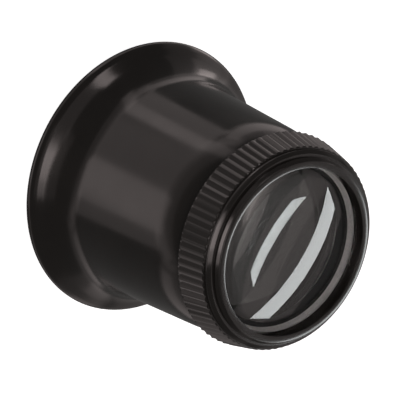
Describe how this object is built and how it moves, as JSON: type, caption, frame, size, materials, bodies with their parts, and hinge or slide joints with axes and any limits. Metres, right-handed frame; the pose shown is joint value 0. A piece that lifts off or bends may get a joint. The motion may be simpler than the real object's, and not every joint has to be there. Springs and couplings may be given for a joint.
{
  "type": "eye loupe",
  "caption": "Monocular magnifier worn in the eye socket: flared eye cup on a tapered barrel, with two glass lenses under a knurled screw ring.",
  "frame": {"origin": "centre of the eye rim, on the plane that the rim rests on", "axes": "+Z along the optical axis, from the eye rim towards the lenses; X and Y across, the part is round"},
  "size_m": [0.039, 0.039, 0.0346],
  "materials": {
    "body_plastic": "black moulded plastic, polished to a soft gloss",
    "ring_plastic": "black moulded plastic, satin, with a fine straight knurl",
    "spacer_plastic": "matt black",
    "front_glass": "polished, uncoated, edges ground",
    "rear_glass": "polished, uncoated, edges ground"
  },
  "bodies": {
    "housing": {"eyecup_body": "body_plastic", "rear_lens": "rear_glass", "spacer_ring": "spacer_plastic"},
    "lens_carrier": {"front_lens": "front_glass"},
    "ring": {"screw_ring": "ring_plastic"}
  },
  "joints": [
    {"name": "ring_lift", "type": "slide", "parent": "housing", "child": "lens_carrier", "axis": [0, 0, 1], "range_m": [0, 0.00151]},
    {"name": "ring_turn", "type": "hinge", "parent": "lens_carrier", "child": "ring", "pos_m": [0, 0, 0.031], "axis": [0, 0, 1], "range_deg": [0, 720]}
  ],
  "couplings": [
    {"joint": "ring_lift", "follows": "ring_turn", "m_per_rad": 0.00011937}
  ]
}
